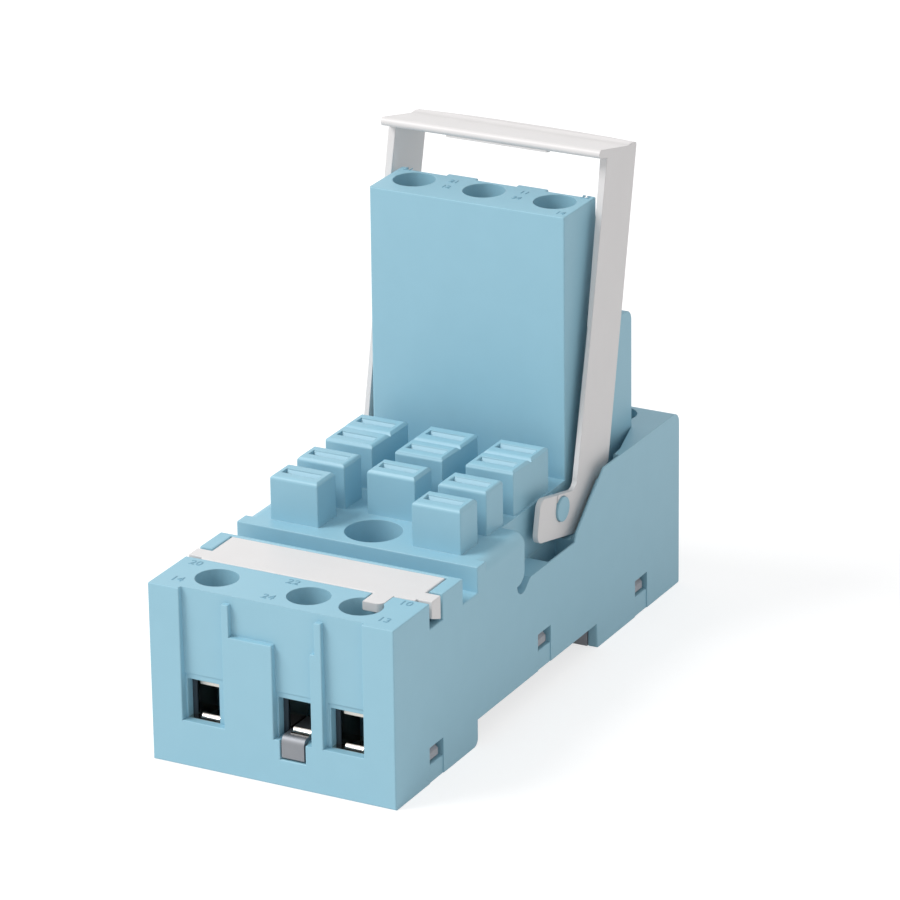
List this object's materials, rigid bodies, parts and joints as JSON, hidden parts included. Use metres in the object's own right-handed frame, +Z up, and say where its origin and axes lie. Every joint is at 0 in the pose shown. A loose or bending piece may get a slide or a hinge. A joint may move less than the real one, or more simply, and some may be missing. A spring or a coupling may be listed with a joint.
{
  "type": "relay socket",
  "caption": "Rail-mount screw-terminal socket for a plug-in relay, with slotted blade posts, stepped terminal tiers, a swinging bail lever and a marker plate.",
  "frame": {"origin": "middle of the underside of the socket, on the plane that its feet stand on", "axes": "+Y from the front terminals to the rear block, +Z up from the rail, +X across the rail"},
  "size_m": [0.038, 0.088, 0.0736],
  "materials": {
    "housing": "moulded, satin",
    "base_cover": "moulded, satin",
    "retaining_lever": "moulded, satin",
    "marker_plate": "moulded, satin",
    "rail_clip": "moulded, satin",
    "link_strip": "plated, semi-gloss",
    "contacts": "tin plated",
    "screws": "nickel plated",
    "cages": "nickel plated"
  },
  "bodies": {
    "socket": {"housing": "housing", "base_cover": "base_cover", "marker_plate": "marker_plate", "link_strip": "link_strip", "coil_strip_left": "contacts", "coil_strip_right": "contacts", "common_strip_1": "contacts", "common_strip_2": "contacts", "common_strip_3": "contacts", "make_strip_1": "contacts", "make_strip_2": "contacts", "make_strip_3": "contacts", "break_strip_1": "contacts", "break_strip_2": "contacts", "break_strip_3": "contacts"},
    "lever": {"retaining_lever": "retaining_lever"},
    "clip": {"rail_clip": "rail_clip"},
    "screw_1": {"terminal_screw_1": "screws"},
    "cage_1": {"clamp_cage_1": "cages"},
    "screw_2": {"terminal_screw_2": "screws"},
    "cage_2": {"clamp_cage_2": "cages"},
    "screw_3": {"terminal_screw_3": "screws"},
    "cage_3": {"clamp_cage_3": "cages"},
    "screw_4": {"terminal_screw_4": "screws"},
    "cage_4": {"clamp_cage_4": "cages"},
    "screw_5": {"terminal_screw_5": "screws"},
    "cage_5": {"clamp_cage_5": "cages"},
    "screw_6": {"terminal_screw_6": "screws"},
    "cage_6": {"clamp_cage_6": "cages"},
    "screw_7": {"terminal_screw_7": "screws"},
    "cage_7": {"clamp_cage_7": "cages"},
    "screw_8": {"terminal_screw_8": "screws"},
    "cage_8": {"clamp_cage_8": "cages"},
    "screw_9": {"terminal_screw_9": "screws"},
    "cage_9": {"clamp_cage_9": "cages"},
    "screw_10": {"terminal_screw_10": "screws"},
    "cage_10": {"clamp_cage_10": "cages"},
    "screw_11": {"terminal_screw_11": "screws"},
    "cage_11": {"clamp_cage_11": "cages"},
    "screw_12": {"terminal_screw_12": "screws"},
    "cage_12": {"clamp_cage_12": "cages"}
  },
  "joints": [
    {"name": "lever_swing", "type": "hinge", "parent": "socket", "child": "lever", "pos_m": [0, 0.00904, 0.0242], "axis": [1, 0, 0], "range_deg": [0, 18]},
    {"name": "clip_slide", "type": "slide", "parent": "socket", "child": "clip", "axis": [0, 1, 0], "range_m": [0, 0.0025], "stiffness_N_per_m": 1500, "springref_m": -0.002},
    {"name": "screw_turn_1", "type": "hinge", "parent": "socket", "child": "screw_1", "pos_m": [-0.0112, -0.0385, 0.015], "axis": [0, 0, -1], "range_deg": [0, 2880]},
    {"name": "cage_rise_1", "type": "slide", "parent": "socket", "child": "cage_1", "axis": [0, 0, 1], "range_m": [0, 0.0048]},
    {"name": "screw_turn_2", "type": "hinge", "parent": "socket", "child": "screw_2", "pos_m": [0.0031, -0.0385, 0.015], "axis": [0, 0, -1], "range_deg": [0, 360]},
    {"name": "cage_rise_2", "type": "slide", "parent": "socket", "child": "cage_2", "axis": [0, 0, 1], "range_m": [0, 0.0006]},
    {"name": "screw_turn_3", "type": "hinge", "parent": "socket", "child": "screw_3", "pos_m": [0.0112, -0.0385, 0.015], "axis": [0, 0, -1], "range_deg": [0, 2880]},
    {"name": "cage_rise_3", "type": "slide", "parent": "socket", "child": "cage_3", "axis": [0, 0, 1], "range_m": [0, 0.0048]},
    {"name": "screw_turn_4", "type": "hinge", "parent": "socket", "child": "screw_4", "pos_m": [-0.0112, 0.039, 0.0157], "axis": [0, 0, -1], "range_deg": [0, 2880]},
    {"name": "cage_rise_4", "type": "slide", "parent": "socket", "child": "cage_4", "axis": [0, 0, 1], "range_m": [0, 0.0048]},
    {"name": "screw_turn_5", "type": "hinge", "parent": "socket", "child": "screw_5", "pos_m": [0, 0.039, 0.0157], "axis": [0, 0, -1], "range_deg": [0, 2880]},
    {"name": "cage_rise_5", "type": "slide", "parent": "socket", "child": "cage_5", "axis": [0, 0, 1], "range_m": [0, 0.0048]},
    {"name": "screw_turn_6", "type": "hinge", "parent": "socket", "child": "screw_6", "pos_m": [0.0112, 0.039, 0.0157], "axis": [0, 0, -1], "range_deg": [0, 2880]},
    {"name": "cage_rise_6", "type": "slide", "parent": "socket", "child": "cage_6", "axis": [0, 0, 1], "range_m": [0, 0.0048]},
    {"name": "screw_turn_7", "type": "hinge", "parent": "socket", "child": "screw_7", "pos_m": [-0.0112, 0.0296, 0.0361], "axis": [0, 0, -1], "range_deg": [0, 2880]},
    {"name": "cage_rise_7", "type": "slide", "parent": "socket", "child": "cage_7", "axis": [0, 0, 1], "range_m": [0, 0.0048]},
    {"name": "screw_turn_8", "type": "hinge", "parent": "socket", "child": "screw_8", "pos_m": [0, 0.0296, 0.0361], "axis": [0, 0, -1], "range_deg": [0, 2880]},
    {"name": "cage_rise_8", "type": "slide", "parent": "socket", "child": "cage_8", "axis": [0, 0, 1], "range_m": [0, 0.0048]},
    {"name": "screw_turn_9", "type": "hinge", "parent": "socket", "child": "screw_9", "pos_m": [0.0112, 0.0296, 0.0361], "axis": [0, 0, -1], "range_deg": [0, 2880]},
    {"name": "cage_rise_9", "type": "slide", "parent": "socket", "child": "cage_9", "axis": [0, 0, 1], "range_m": [0, 0.0048]},
    {"name": "screw_turn_10", "type": "hinge", "parent": "socket", "child": "screw_10", "pos_m": [-0.0112, 0.0196, 0.0544], "axis": [0, 0, -1], "range_deg": [0, 2880]},
    {"name": "cage_rise_10", "type": "slide", "parent": "socket", "child": "cage_10", "axis": [0, 0, 1], "range_m": [0, 0.0048]},
    {"name": "screw_turn_11", "type": "hinge", "parent": "socket", "child": "screw_11", "pos_m": [0, 0.0196, 0.0544], "axis": [0, 0, -1], "range_deg": [0, 2880]},
    {"name": "cage_rise_11", "type": "slide", "parent": "socket", "child": "cage_11", "axis": [0, 0, 1], "range_m": [0, 0.0048]},
    {"name": "screw_turn_12", "type": "hinge", "parent": "socket", "child": "screw_12", "pos_m": [0.0112, 0.0196, 0.0544], "axis": [0, 0, -1], "range_deg": [0, 2880]},
    {"name": "cage_rise_12", "type": "slide", "parent": "socket", "child": "cage_12", "axis": [0, 0, 1], "range_m": [0, 0.0048]}
  ],
  "couplings": [
    {"joint": "screw_turn_1", "follows": "cage_rise_1", "rad_per_m": 10471},
    {"joint": "screw_turn_2", "follows": "cage_rise_2", "rad_per_m": 10471},
    {"joint": "screw_turn_3", "follows": "cage_rise_3", "rad_per_m": 10471},
    {"joint": "screw_turn_4", "follows": "cage_rise_4", "rad_per_m": 10471},
    {"joint": "screw_turn_5", "follows": "cage_rise_5", "rad_per_m": 10471},
    {"joint": "screw_turn_6", "follows": "cage_rise_6", "rad_per_m": 10471},
    {"joint": "screw_turn_7", "follows": "cage_rise_7", "rad_per_m": 10471},
    {"joint": "screw_turn_8", "follows": "cage_rise_8", "rad_per_m": 10471},
    {"joint": "screw_turn_9", "follows": "cage_rise_9", "rad_per_m": 10471},
    {"joint": "screw_turn_10", "follows": "cage_rise_10", "rad_per_m": 10471},
    {"joint": "screw_turn_11", "follows": "cage_rise_11", "rad_per_m": 10471},
    {"joint": "screw_turn_12", "follows": "cage_rise_12", "rad_per_m": 10471}
  ]
}
